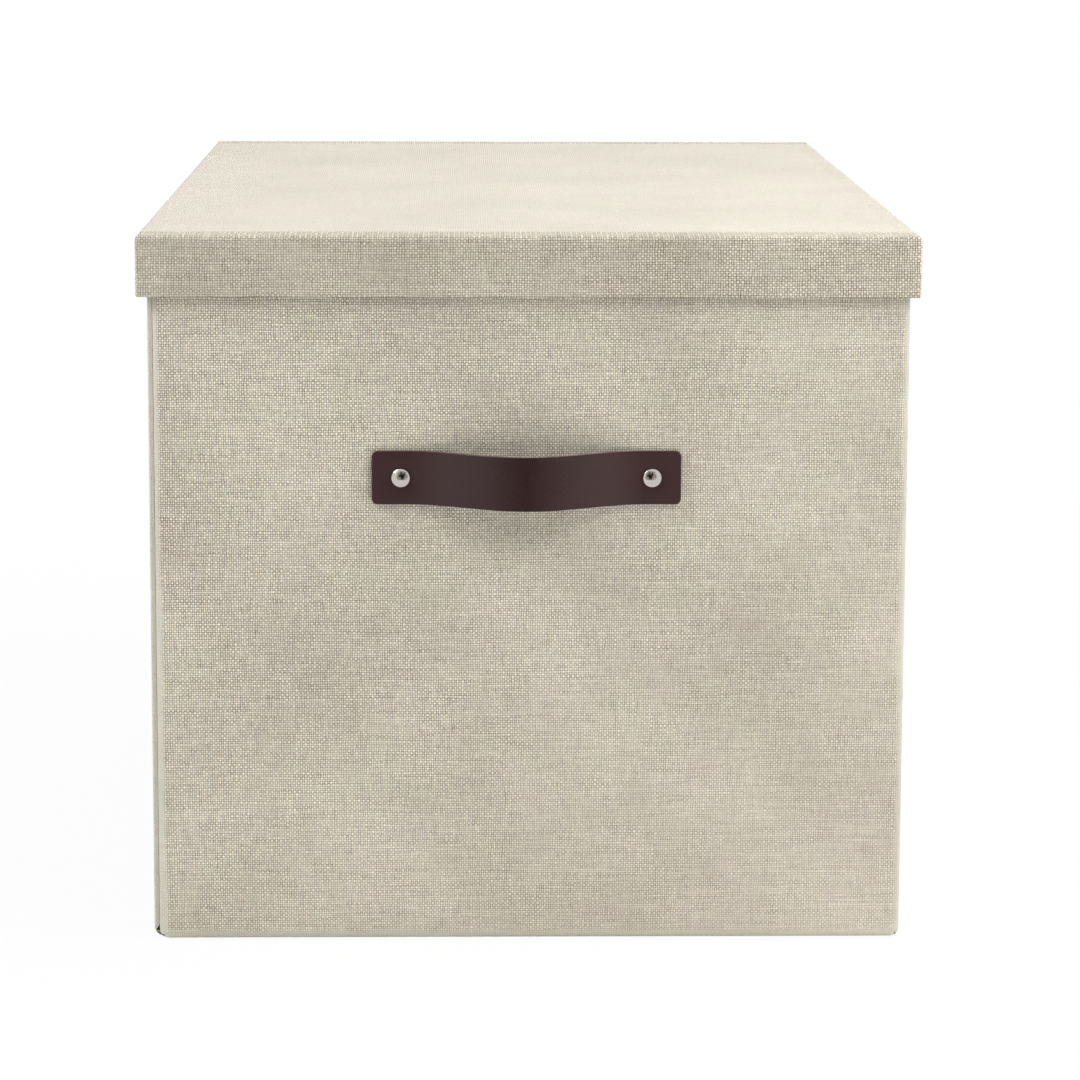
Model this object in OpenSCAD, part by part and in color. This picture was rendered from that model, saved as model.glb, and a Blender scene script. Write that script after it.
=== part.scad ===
// Cloth-covered file box: a folded board body, a lift-off lid that telescopes
// over it, and a leather strap pull held by two domed studs.
// The origin is the centre of the underside. The front faces -Y and +Z is up.

/* [Body] */
// Outside width of the body, over its cover
body_w = 322; // [220:1:420]
// Outside depth of the body, over its cover
body_d = 492; // [300:1:620]
// Height of the body, from the surface it stands on to its rim
body_h = 303.5; // [180:0.5:420]
// Outside radius of the body's upright and bottom folds
fold_r = 4; // [2.5:0.5:8]
// Cover turned down inside the body's rim
turn_in = 15; // [8:1:30]
// Cover turned under the base
turn_under = 24; // [14:1:34]

/* [Boards and papers] */
// Thickness of every board
board_t = 1.6; // [1.2:0.1:3]
// Thickness of the woven cover with its glue
cover_t = 0.4; // [0.25:0.05:0.8]
// Thickness of the paper that lines the inside
lining_t = 0.2; // [0.15:0.05:0.5]
// Thickness of the sheet pasted under the base
base_paper_t = 0.2; // [0.15:0.05:0.5]
// Distance from the body's sides to the edge of that sheet
base_paper_inset = 9; // [5:1:13]

/* [Seam at the front left corner] */
// How far the left wall's front edge stands behind the front face
seam_setback = 5; // [4:0.5:12]
// Rounding of that wrapped edge
seam_edge_r = 0.8; // [0.4:0.1:1.5]
// Depth of the flap that turns back from the front panel inside the left wall
seam_flap_d = 36; // [20:1:80]
// Width of the small open corner at the seam's foot
relief_w = 1.7; // [1:0.1:2]
// Height of that open corner
relief_h = 2.6; // [1.5:0.1:5]
// Depth of that open corner
relief_d = 6; // [3:0.5:12]

/* [Base] */
// Width of the flaps folded in under the base board
tuck_w = 40; // [24:1:70]
// Gap left along each mitre between those flaps
tuck_gap = 0.6; // [0.3:0.1:2]
// Gap round the base board
base_gap = 0.5; // [0.3:0.1:1.5]

/* [Lid] */
// Gap all round between the lid's turned edge and the body
lid_gap = 1.4; // [0.6:0.1:4]
// Height of the lid's rim
rim_h = 26; // [16:0.5:70]
// Outside radius along the lid's top edges
lid_edge_r = 2; // [1:0.25:4]
// Outside radius of the lid's upright corners
lid_corner_r = 1.5; // [1:0.25:4]
// Cover turned up inside the lid's rim
lid_turn_in = 12; // [6:1:14]

/* [Strap pull] */
// Length of the strap from end to end, seen from the front
strap_l = 131; // [112:1:180]
// Width of the strap
strap_w = 23; // [14:0.5:40]
// Thickness of the strap
strap_t = 2.2; // [1.5:0.1:4]
// How far the strap's middle stands off the front
strap_bulge = 17.2; // [10:0.1:30]
// Rounding of the strap's four corners
strap_corner_r = 2.6; // [1:0.1:5]
// Strap's centre, to the right of the box's middle
strap_x = -1; // [-20:0.5:20]
// Strap's centre below the body's rim
strap_drop = 100.8; // [70:0.2:140]
// Flat stretch from each stud's centre towards the middle
strap_flat = 3; // [3:0.5:8]

/* [Studs and their screws] */
// Distance from the strap's end to the stud's centre
stud_inset = 12.3; // [8:0.1:20]
// Diameter of a stud's domed head
stud_head_d = 8.2; // [6:0.1:12]
// Height of the domed head
stud_head_h = 2; // [1.5:0.1:4]
// Straight edge under the dome
stud_edge_h = 0.4; // [0.2:0.1:1]
// Solid metal between the top of the dome and the screw's hole
dome_solid = 1.4; // [1:0.1:1.6]
// Diameter of a stud's hollow post
stud_post_d = 4; // [3.4:0.1:5]
// Gap between the post's end and the screw head's seat
stud_end_gap = 0.3; // [0.1:0.1:0.8]
// Clearance round the post in the holes it passes through
stud_clear = 0.1; // [0.05:0.05:0.3]
// Diameter of the screw's shank
screw_d = 2.5; // [2:0.1:2.8]
// Clearance round the shank inside the post
screw_clear = 0.05; // [0.02:0.01:0.1]
// Gap between the shank's tip and the bottom of its hole
shank_gap = 0.6; // [0.2:0.1:1.5]
// Diameter of the screw's flat head
screw_head_d = 7.4; // [5:0.1:9]
// Thickness of the screw's head
screw_head_h = 1.2; // [0.8:0.1:2]
// Width of the slot in the screw's head
slot_w = 1; // [0.6:0.1:1.4]
// Depth of the slot
slot_h = 0.6; // [0.3:0.1:0.7]
// Diameter of the washer
washer_d = 11; // [9.5:0.5:16]
// Thickness of the washer
washer_t = 0.6; // [0.4:0.1:1.5]

/* [Hidden] */
$fn = 64;
// Overshoot of a cut past the face it opens
cut = 1;

linen = [0.79, 0.76, 0.70];
grey_board = [0.62, 0.58, 0.52];
white_paper = [0.93, 0.92, 0.89];
brown_leather = [0.24, 0.17, 0.17];
chrome = [0.80, 0.80, 0.81];
nickel = [0.70, 0.69, 0.66];

// Half sizes of the body: over its cover, over its boards and inside its boards
outer_x = body_w / 2;
outer_y = body_d / 2;
board_x = outer_x - cover_t;
board_y = outer_y - cover_t;
inner_x = board_x - board_t;
inner_y = board_y - board_t;

// Levels of the base, from the surface upwards
cover_z = base_paper_t;
tuck_z = cover_z + cover_t;
base_z = tuck_z + board_t;
floor_z = base_z + board_t;
// Top of the boards, under the cover that wraps the rim
board_top_z = body_h - cover_t;

// The front panel turns back inside the left wall, so its left fold lies one
// covered wall in from the left wall's outside
seam_x = -(inner_x - cover_t);
flap_board_x = seam_x + cover_t;
flap_inner_x = flap_board_x + board_t;
flap_back_y = -outer_y + seam_flap_d;
left_edge_y = -outer_y + seam_setback;

// Levels and half sizes of the lid, which rests on the body's rim
lid_board_z = body_h + lining_t;
lid_top_board_z = lid_board_z + board_t;
lid_top_z = lid_top_board_z + cover_t;
rim_z = lid_top_z - rim_h;
lid_cavity_x = outer_x + lid_gap;
lid_cavity_y = outer_y + lid_gap;
lid_lined_x = lid_cavity_x + cover_t;
lid_lined_y = lid_cavity_y + cover_t;
lid_inner_x = lid_lined_x + lining_t;
lid_inner_y = lid_lined_y + lining_t;
lid_board_x = lid_inner_x + board_t;
lid_board_y = lid_inner_y + board_t;
lid_x = lid_board_x + cover_t;
lid_y = lid_board_y + cover_t;

// Strap and stud places
strap_z = body_h - strap_drop;
bow_half = strap_l / 2 - stud_inset - strap_flat;
left_stud_x = strap_x - strap_l / 2 + stud_inset;
right_stud_x = strap_x + strap_l / 2 - stud_inset;
strap_front_y = -outer_y - strap_t;
lining_y = -inner_y + lining_t;
washer_y = lining_y + washer_t;
screw_top_y = washer_y + screw_head_h;
post_l = -strap_front_y + lining_y - stud_end_gap;
post_hole_d = stud_post_d + 2 * stud_clear;
screw_hole_d = screw_d + 2 * screw_clear;
// Straight steps along the strap's bow
bow_steps = 48;

// Dome of a stud: its height over the straight edge, its radius and its top
dome_h = stud_head_h - stud_edge_h;
dome_r = (pow(stud_head_d / 2, 2) + pow(dome_h, 2)) / (2 * dome_h);
dome_y = strap_front_y - stud_head_h;
screw_hole_y = dome_y + dome_solid;

// ---- Shared shapes ----

// Rectangle between two corners
module area(x0, x1, y0, y1) {
    translate([x0, y0]) square([x1 - x0, y1 - y0]);
}

// Rectangle between two corners, with four rounded corners
module round_area(x0, x1, y0, y1, r) {
    area(x0 + r, x1 - r, y0, y1);
    area(x0, x1, y0 + r, y1 - r);
    for (x = [x0 + r, x1 - r], y = [y0 + r, y1 - r]) translate([x, y]) circle(r);
}

// Upright outline of a folded wall: round at its two lower corners only
module fold_area(a0, a1, z0, z1, r) {
    area(a0, a1, z0 + r, z1);
    area(a0 + r, a1 - r, z0, z0 + 2 * r);
    for (a = [a0 + r, a1 - r]) translate([a, z0 + r]) circle(r);
}

// Block between two corners
module block(x0, x1, y0, y1, z0, z1) {
    translate([x0, y0, z0]) cube([x1 - x0, y1 - y0, z1 - z0]);
}

// Block with upright folds of radius r_side and bottom folds of radius r_base
module folded_block(x0, x1, y0, y1, z0, z1, r_side, r_base) {
    intersection() {
        translate([0, 0, z0]) linear_extrude(z1 - z0) round_area(x0, x1, y0, y1, r_side);
        translate([0, y1, 0]) rotate([90, 0, 0]) linear_extrude(y1 - y0) fold_area(x0, x1, z0, z1, r_base);
        translate([x0, 0, 0]) rotate([90, 0, 90]) linear_extrude(x1 - x0) fold_area(y0, y1, z0, z1, r_base);
    }
}

// Cylinder along Y from y0 to y1, at one stud
module rod_y(x, y0, y1, d) {
    translate([x, y1, strap_z]) rotate([90, 0, 0]) cylinder(h = y1 - y0, d = d);
}

// Both stud places
module at_studs() {
    for (x = [left_stud_x, right_stud_x]) translate([x, 0, 0]) children();
}

// Holes for the studs' posts, through the whole front
module post_holes() {
    at_studs() rod_y(0, strap_front_y - cut, lining_y + cut, post_hole_d);
}

// ---- Body ----

// Everything in front of the seam and right of it, inset from the outside by g
module front_shell(g) {
    folded_block(
        seam_x + g, outer_x - g, -outer_y + g, outer_y - g,
        cover_z + g, body_h - g, fold_r - g, fold_r - g
    );
}

// The same up to the left wall's outside, behind that wall's wrapped front edge
module left_shell(g) {
    intersection() {
        folded_block(
            -outer_x + g, outer_x - g, -outer_y + g, outer_y - g,
            cover_z + g, body_h - g, fold_r - g, fold_r - g
        );
        translate([0, 0, cover_z]) linear_extrude(body_h - cover_z)
            round_area(-outer_x + g, outer_x, left_edge_y + g, outer_y + fold_r, seam_edge_r);
    }
}

// Plan of the space inside the walls and the flap, inset from the boards by g
module cavity_area(g) {
    difference() {
        area(-inner_x + g, inner_x - g, -inner_y + g, inner_y - g);
        area(-outer_x, flap_inner_x + g, -outer_y, flap_back_y + g);
    }
}

// Open corner where the seam meets the base: a triangle that narrows upwards
module relief() {
    foot = cover_z + fold_r - relief_h / 2;
    peak_x = seam_x - relief_w / 4;
    translate([0, left_edge_y + relief_d, 0]) rotate([90, 0, 0]) linear_extrude(relief_d + cut)
        polygon([[seam_x - relief_w, foot], [seam_x, foot], [peak_x, foot + relief_h]]);
}

module front_board() {
    color(grey_board) difference() {
        intersection() {
            front_shell(cover_t);
            block(-outer_x, outer_x, -outer_y, -inner_y, 0, body_h);
        }
        post_holes();
    }
}

module right_board() {
    color(grey_board) intersection() {
        front_shell(cover_t);
        block(inner_x, outer_x, -inner_y, inner_y, 0, body_h);
    }
}

module back_board() {
    color(grey_board) intersection() {
        left_shell(cover_t);
        block(-outer_x, outer_x, inner_y, outer_y, 0, body_h);
    }
}

module left_board() {
    color(grey_board) difference() {
        intersection() {
            left_shell(cover_t);
            block(-outer_x, -inner_x, -outer_y, inner_y, 0, body_h);
        }
        relief();
    }
}

module seam_flap_board() {
    color(grey_board) intersection() {
        front_shell(cover_t);
        block(-outer_x, flap_inner_x, -inner_y, flap_back_y, base_z, body_h);
    }
}

// Mitred flap folded in from the wall at (0, -y), for a wall of half length x
module tuck(x, y) {
    g = tuck_gap / 2;
    translate([0, 0, tuck_z]) linear_extrude(board_t) polygon([
        [-x + g, -y], [x - g, -y], [x - tuck_w - g, -y + tuck_w], [-x + tuck_w + g, -y + tuck_w]
    ]);
}

module front_tuck_board() {
    color(grey_board) intersection() {
        front_shell(cover_t);
        tuck(inner_x, inner_y);
    }
}

module right_tuck_board() {
    color(grey_board) intersection() {
        front_shell(cover_t);
        rotate(90) tuck(inner_y, inner_x);
    }
}

module back_tuck_board() {
    color(grey_board) intersection() {
        left_shell(cover_t);
        rotate(180) tuck(inner_x, inner_y);
    }
}

module left_tuck_board() {
    color(grey_board) intersection() {
        left_shell(cover_t);
        rotate(-90) tuck(inner_y, inner_x);
    }
}

module base_board() {
    color(grey_board) translate([0, 0, base_z]) linear_extrude(board_t) cavity_area(lining_t + base_gap);
}

// Woven cover: over the walls, round the rim, under the base and into the seam
module body_cover() {
    lined = lining_t + cover_t;
    color(linen) difference() {
        union() {
            difference() {
                union() {
                    front_shell(0);
                    left_shell(0);
                }
                front_shell(cover_t);
                left_shell(cover_t);
            }
            block(
                -inner_x, flap_board_x, left_edge_y + cover_t / 2, flap_back_y, base_z, body_h - cover_t / 2
            );
            translate([0, 0, body_h - turn_in]) linear_extrude(turn_in - cover_t / 2)
                difference() {
                    cavity_area(lining_t);
                    cavity_area(lined);
                }
        }
        translate([0, 0, body_h - 2 * cover_t]) linear_extrude(2 * cover_t + cut) cavity_area(lined);
        block(
            -outer_x + turn_under, outer_x - turn_under,
            -outer_y + turn_under, outer_y - turn_under, -cut, base_z - board_t / 2
        );
        post_holes();
        relief();
    }
}

module wall_lining() {
    color(white_paper) difference() {
        translate([0, 0, base_z]) linear_extrude(board_top_z - base_z) difference() {
            cavity_area(0);
            cavity_area(lining_t);
        }
        post_holes();
    }
}

module base_lining() {
    color(white_paper) translate([0, 0, floor_z]) linear_extrude(lining_t) cavity_area(lining_t + base_gap);
}

module base_paper() {
    color(white_paper) block(
        -outer_x + base_paper_inset, outer_x - base_paper_inset,
        -outer_y + base_paper_inset, outer_y - base_paper_inset, 0, base_paper_t
    );
}

// ---- Strap pull ----

// Stand-off of the strap's back at x from its centre, and its slope there
function bow(x) = abs(x) < bow_half ? strap_bulge * (1 + cos(180 * x / bow_half)) / 2 : 0;
function bow_slope(x) = abs(x) < bow_half ? -strap_bulge * PI / 2 / bow_half * sin(180 * x / bow_half) : 0;

// A point on the strap's back at x, moved out square to it by t
function strap_point(x, t) =
    let (s = bow_slope(x), n = sqrt(1 + s * s)) [x - t * s / n, -(bow(x) + t / n)];

module handle_strap() {
    places = [
        -strap_l / 2,
        for (i = [0 : bow_steps]) bow_half * (2 * i / bow_steps - 1),
        strap_l / 2
    ];
    back = [for (x = places) strap_point(x, 0)];
    face = [for (i = [len(places) - 1 : -1 : 0]) strap_point(places[i], strap_t)];
    color(brown_leather) difference() {
        intersection() {
            translate([strap_x, -outer_y, strap_z - strap_w / 2]) linear_extrude(strap_w)
                polygon(concat(back, face));
            translate([strap_x, -outer_y + cut, strap_z]) rotate([90, 0, 0])
                linear_extrude(strap_bulge + strap_t + 2 * cut)
                    round_area(-strap_l / 2, strap_l / 2, -strap_w / 2, strap_w / 2, strap_corner_r);
        }
        post_holes();
    }
}

// Domed head with a hollow post that runs back through the strap and the wall
module stud(x) {
    color(chrome) difference() {
        union() {
            rod_y(x, strap_front_y - stud_edge_h, strap_front_y, stud_head_d);
            intersection() {
                translate([x, dome_y + dome_r, strap_z]) sphere(dome_r);
                rod_y(x, dome_y - cut, strap_front_y - stud_edge_h, stud_head_d + cut);
            }
            rod_y(x, strap_front_y - stud_edge_h / 2, strap_front_y + post_l, stud_post_d);
        }
        rod_y(x, screw_hole_y, strap_front_y + post_l + cut, screw_hole_d);
    }
}

module washer(x) {
    color(nickel) difference() {
        rod_y(x, lining_y, washer_y, washer_d);
        rod_y(x, lining_y - cut, washer_y + cut, post_hole_d);
    }
}

// Slotted flat head on a shank that reaches into the stud's post
module screw(x) {
    color(nickel) difference() {
        union() {
            rod_y(x, washer_y, screw_top_y, screw_head_d);
            rod_y(x, screw_hole_y + shank_gap, washer_y + screw_head_h / 2, screw_d);
        }
        block(
            x - screw_head_d, x + screw_head_d,
            screw_top_y - slot_h, screw_top_y + cut, strap_z - slot_w / 2, strap_z + slot_w / 2
        );
    }
}

module stud_left() { stud(left_stud_x); }
module stud_right() { stud(right_stud_x); }
module washer_left() { washer(left_stud_x); }
module washer_right() { washer(right_stud_x); }
module screw_left() { screw(left_stud_x); }
module screw_right() { screw(right_stud_x); }

// ---- Lid ----

// The lid's outline inset by g: a folded block turned over, with its folds on top
module lid_shell(g) {
    translate([0, 0, lid_top_z]) mirror([0, 0, 1]) folded_block(
        -lid_x + g, lid_x - g, -lid_y + g, lid_y - g, g, rim_h - g, lid_corner_r - g, lid_edge_r - g
    );
}

// Frame inside the lid's rim, between two half sizes and two levels
module lid_frame(x0, y0, x1, y1, z0, z1) {
    translate([0, 0, z0]) linear_extrude(z1 - z0) difference() {
        area(-x1, x1, -y1, y1);
        area(-x0, x0, -y0, y0);
    }
}

module lid_top_board() {
    color(grey_board) intersection() {
        lid_shell(cover_t);
        block(-lid_x, lid_x, -lid_y, lid_y, lid_board_z, lid_top_z);
    }
}

module lid_front_board() {
    color(grey_board) intersection() {
        lid_shell(cover_t);
        block(-lid_x, lid_x, -lid_y, -lid_inner_y, rim_z, lid_board_z);
    }
}

module lid_back_board() {
    color(grey_board) intersection() {
        lid_shell(cover_t);
        block(-lid_x, lid_x, lid_inner_y, lid_y, rim_z, lid_board_z);
    }
}

module lid_right_board() {
    color(grey_board) intersection() {
        lid_shell(cover_t);
        block(lid_inner_x, lid_x, -lid_inner_y, lid_inner_y, rim_z, lid_board_z);
    }
}

module lid_left_board() {
    color(grey_board) intersection() {
        lid_shell(cover_t);
        block(-lid_x, -lid_inner_x, -lid_inner_y, lid_inner_y, rim_z, lid_board_z);
    }
}

// Woven cover of the lid, wrapped round the rim's lower edge and turned up inside
module lid_cover() {
    color(linen) {
        difference() {
            lid_shell(0);
            lid_shell(cover_t);
            block(-lid_cavity_x, lid_cavity_x, -lid_cavity_y, lid_cavity_y, rim_z - cut, rim_z + 2 * cover_t);
        }
        lid_frame(
            lid_cavity_x, lid_cavity_y, lid_lined_x, lid_lined_y, rim_z + cover_t / 2, rim_z + lid_turn_in
        );
    }
}

module lid_lining() {
    color(white_paper) {
        lid_frame(lid_lined_x, lid_lined_y, lid_inner_x, lid_inner_y, rim_z + cover_t, lid_board_z);
        block(-lid_inner_x, lid_inner_x, -lid_inner_y, lid_inner_y, body_h, lid_board_z);
    }
}

front_board();
right_board();
back_board();
left_board();
seam_flap_board();
front_tuck_board();
right_tuck_board();
back_tuck_board();
left_tuck_board();
base_board();
body_cover();
wall_lining();
base_lining();
base_paper();
handle_strap();
stud_left();
stud_right();
washer_left();
washer_right();
screw_left();
screw_right();
lid_top_board();
lid_front_board();
lid_right_board();
lid_back_board();
lid_left_board();
lid_cover();
lid_lining();
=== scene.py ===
# %% [markdown]
# # A cloth-covered file box with a leather pull
#
# The box is grey board wrapped in a linen-coloured weave. A lid slips over it,
# and a bowed leather strap is held on the front by two chrome studs. The sizes
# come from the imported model, so every piece made here starts from its box.

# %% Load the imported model
import math

import bmesh
import bpy
from mathutils import Matrix, Vector


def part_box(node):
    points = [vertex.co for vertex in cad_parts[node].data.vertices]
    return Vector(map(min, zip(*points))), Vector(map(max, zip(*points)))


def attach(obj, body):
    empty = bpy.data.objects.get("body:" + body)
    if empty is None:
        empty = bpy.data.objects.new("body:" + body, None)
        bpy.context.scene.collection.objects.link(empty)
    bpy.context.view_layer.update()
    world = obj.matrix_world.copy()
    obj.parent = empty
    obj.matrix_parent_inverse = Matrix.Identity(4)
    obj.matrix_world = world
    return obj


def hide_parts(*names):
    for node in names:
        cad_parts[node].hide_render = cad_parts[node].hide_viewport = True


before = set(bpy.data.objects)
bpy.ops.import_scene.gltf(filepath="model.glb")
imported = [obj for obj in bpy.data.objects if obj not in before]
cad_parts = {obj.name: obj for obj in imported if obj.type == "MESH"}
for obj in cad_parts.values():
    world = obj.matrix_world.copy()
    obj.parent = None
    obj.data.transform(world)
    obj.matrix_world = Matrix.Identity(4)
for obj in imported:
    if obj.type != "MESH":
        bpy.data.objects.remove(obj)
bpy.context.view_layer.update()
MM = 0.001
body_low, body_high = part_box("body_cover")
lid_low, lid_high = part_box("lid_cover")
print("body", body_low, body_high, "lid", lid_low, lid_high)

# %% [markdown]
# ## Camera
#
# The photograph looks slightly down at the front through a long lens. Turning
# the camera down alone would make the upright edges run together, and in the
# photograph they hardly do, so the lens is also shifted a little downwards. The
# place, the angles, the lens and the shift were fitted to the straight edges.

# %% Place the camera
CAMERA_PLACE = Vector((-27.8, -1708.4, 460.6)) * MM
CAMERA_DOWN = math.radians(8.381)
CAMERA_RIGHT = math.radians(1.268)
CAMERA_ROLL = math.radians(0.221)
CAMERA_LENS = 116.85
CAMERA_SHIFT = -0.15

camera = bpy.data.objects.new("camera", bpy.data.cameras.new("camera"))
camera.data.sensor_width = 36
camera.data.lens = CAMERA_LENS
camera.data.shift_y = CAMERA_SHIFT
camera.location = CAMERA_PLACE
camera.rotation_mode = "QUATERNION"
ahead = Vector((
    math.cos(CAMERA_DOWN) * math.sin(CAMERA_RIGHT),
    math.cos(CAMERA_DOWN) * math.cos(CAMERA_RIGHT),
    -math.sin(CAMERA_DOWN),
))
roll = Matrix.Rotation(CAMERA_ROLL, 3, "Z").to_quaternion()
camera.rotation_quaternion = ahead.to_track_quat("-Z", "Y") @ roll
bpy.context.scene.collection.objects.link(camera)
bpy.context.scene.camera = camera
print("camera", tuple(round(x, 4) for x in camera.location), "lens", camera.data.lens)

# %% [markdown]
# ## Shader maths as plain expressions
#
# A woven pattern is arithmetic on two coordinates. It could be wired node by
# node, but nobody can read the result. Instead a small class wraps a socket and
# overloads the operators, so the pattern reads as a formula, and one method
# makes every other kind of node.

# %% Wrap a socket in operators
class Num:
    """A number that varies over a surface. Arithmetic on it adds Math nodes."""

    def __init__(self, shader, socket):
        self.shader = shader
        self.socket = socket

    def math(self, operation, *others):
        return self.shader.math(operation, self, *others)

    def __add__(self, other):
        return self.math("ADD", other)

    __radd__ = __add__

    def __mul__(self, other):
        return self.math("MULTIPLY", other)

    __rmul__ = __mul__

    def __sub__(self, other):
        return self.math("SUBTRACT", other)

    def __rsub__(self, other):
        return self.shader.math("SUBTRACT", other, self)

    def __truediv__(self, other):
        return self.math("DIVIDE", other)

    def __pow__(self, other):
        return self.math("POWER", other)

    def __abs__(self):
        return self.math("ABSOLUTE")

    def floor(self):
        return self.math("FLOOR")

    def sin(self):
        return self.math("SINE")

    def larger(self, other):
        return self.math("MAXIMUM", other)

    def smaller(self, other):
        return self.math("MINIMUM", other)

    def above(self, other):
        return self.math("GREATER_THAN", other)

    def rise(self, low, high):
        """0 below low and 1 above high, with a smooth step between."""
        return self.shader.node(
            "MapRange", {"interpolation_type": "SMOOTHSTEP"},
            {"Value": self, "From Min": low, "From Max": high},
        )


# %% Build a finish node by node
class Shader:
    """The nodes of a material or of the world."""

    def __init__(self, owner):
        owner.use_nodes = True
        self.owner = owner
        self.tree = owner.node_tree
        self.tree.nodes.clear()

    def node(self, kind, settings, sockets, output=0):
        """Adds a node: its settings first, then the values or links of its sockets."""
        made = self.tree.nodes.new("ShaderNode" + kind)
        for key, value in settings.items():
            setattr(made, key, value)
        for key, value in sockets.items():
            if isinstance(value, Num):
                self.tree.links.new(value.socket, made.inputs[key])
            else:
                made.inputs[key].default_value = value
        return Num(self, made.outputs[output])

    def math(self, operation, *values):
        return self.node("Math", {"operation": operation}, dict(enumerate(values)))

    def mix(self, factor, first, second, blend="MIX"):
        """Blends two colours by a factor."""
        return self.node(
            "Mix", {"data_type": "RGBA", "blend_type": blend, "clamp_factor": True},
            {0: factor, 6: first, 7: second}, 2,
        )

    def noise(self, vector, scale, detail=2.0, roughness=0.5, stretch=(1, 1, 1)):
        """Smooth random values around 0.5, drawn out along an axis by a small stretch."""
        placed = self.node("VectorMath", {"operation": "MULTIPLY"}, {0: vector, 1: stretch})
        return self.node(
            "TexNoise", {"noise_dimensions": "3D"},
            {"Vector": placed, "Scale": scale, "Detail": detail, "Roughness": roughness},
        )

    def finish(self, shader, target="Material"):
        """Connects a shader to the output and gives back the material or world."""
        end = self.tree.nodes.new("ShaderNodeOutput" + target)
        self.tree.links.new(shader.socket, end.inputs["Surface"])
        return self.owner

    def principled(self, values):
        """Ends a material with one principled shader."""
        return self.finish(self.node("BsdfPrincipled", {}, values))


def material(name):
    """The empty shader of a new material."""
    return Shader(bpy.data.materials.new(name))


def linear(red, green, blue):
    """A colour picked on screen, as the linear colour that a shader needs."""
    return tuple(((c / 255 + 0.055) / 1.055) ** 2.4 for c in (red, green, blue)) + (1.0,)


# %% [markdown]
# ## World and lamps
#
# The box stands in a white studio. White could come from strong light, but that
# would wash out the cloth. So the world is dim as a light and white only where
# it is seen: straight, in a reflection or through glass.
#
# Five soft lamps bring the cloth to the level at which a colour renders about as
# it is written: one high on each side, one high in front, a small one low on the
# right and one behind. Only the left one is seen in the chrome, as a highlight.

# %% Light the box
WHITE = (1, 1, 1, 1)
WORLD_LIGHT = 0.22


def seen(s):
    """1 for rays that show the camera a surface, and 0 for rays that light matt things."""
    rays = s.node("LightPath", {}, {}, "Is Camera Ray")
    for ray in ("Is Glossy Ray", "Is Transmission Ray"):
        rays = rays.larger(s.node("LightPath", {}, {}, ray))
    return rays


def studio_world():
    """Dim, even light from all round that looks white."""
    s = Shader(bpy.data.worlds.new("studio"))
    strength = seen(s) * (1 - WORLD_LIGHT) + WORLD_LIGHT
    return s.finish(s.node("Background", {}, {"Color": WHITE, "Strength": strength}), "World")


def lamp(name, place, target, size, power, mirrored=False):
    """A soft lamp that faces a point. Only a mirrored one shows in glossy surfaces."""
    light = bpy.data.lights.new(name, "AREA")
    light.shape = "RECTANGLE"
    light.size, light.size_y = size
    light.energy = power
    holder = bpy.data.objects.new(name, light)
    holder.location = place
    holder.rotation_mode = "QUATERNION"
    holder.rotation_quaternion = (Vector(target) - Vector(place)).to_track_quat("-Z", "Y")
    holder.visible_camera = False
    holder.visible_glossy = mirrored
    bpy.context.scene.collection.objects.link(holder)
    print(name, power, "W")


bpy.context.scene.view_settings.view_transform = "Standard"
bpy.context.scene.world = studio_world()
lamp("lamp left", (-1.1, -0.5, 1.2), (0, -0.1, 0.3), (0.8, 0.8), 13, mirrored=True)
lamp("lamp right", (1.1, -0.2, 1.2), (0, -0.1, 0.3), (0.8, 0.8), 16)
lamp("lamp front", (0.9, -1.3, 1.4), (0, -0.25, 0.1), (0.6, 0.6), 9.4)
lamp("lamp low right", (1.0, -0.55, 0.12), (0.1, -0.25, 0.05), (0.3, 0.2), 2.1)
lamp("lamp back", (0.2, 1.5, 0.9), (0, 0.2, 0.15), (0.8, 0.8), 9)

# %% [markdown]
# ## Floor and dark card
#
# Under these lamps a matt white floor is grey. So most of what is seen of it is
# plain white, all of it far from the box, and the rest keeps the box's shadow.
#
# In the photograph the studs have a dark middle and the leather stays deep,
# because both mirror the unlit end of a room. A dark card in front of the box
# stands for it, in reflections only. It has a few paler patches and turns as
# white as the world towards its edge, so that no outline of it shows.

# %% Lay the floor and hang the card
FLOOR_SIZE = (80, 80)
FLOOR_PLACE = (0, 0, -0.3 * MM)
FLOOR_COLOUR = (0.88, 0.88, 0.88, 1)
FLOOR_WHITE = 0.94
FLOOR_NEAR = 0.3
FLOOR_FAR = 0.9
CARD_SIZE = (1.1, 1.15)
CARD_PLACE = (0.0, -0.75, 0.34)
CARD_COLOUR = (1.0, 0.94, 0.9, 1)
CARD_DARK = 0.02


def stage_plane(name, size, place, turn, look):
    """A flat rectangle that isn't part of the box."""
    bm = bmesh.new()
    bmesh.ops.create_grid(bm, x_segments=1, y_segments=1, size=0.5)
    bmesh.ops.scale(bm, vec=(size[0], size[1], 1), verts=bm.verts)
    bmesh.ops.rotate(bm, matrix=Matrix.Rotation(turn, 3, "X"), verts=bm.verts)
    bmesh.ops.translate(bm, vec=place, verts=bm.verts)
    mesh = bpy.data.meshes.new(name)
    bm.to_mesh(mesh)
    bm.free()
    made = bpy.data.objects.new(name, mesh)
    mesh.materials.append(look)
    bpy.context.scene.collection.objects.link(made)
    print(name, size, "m")
    return made


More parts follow.
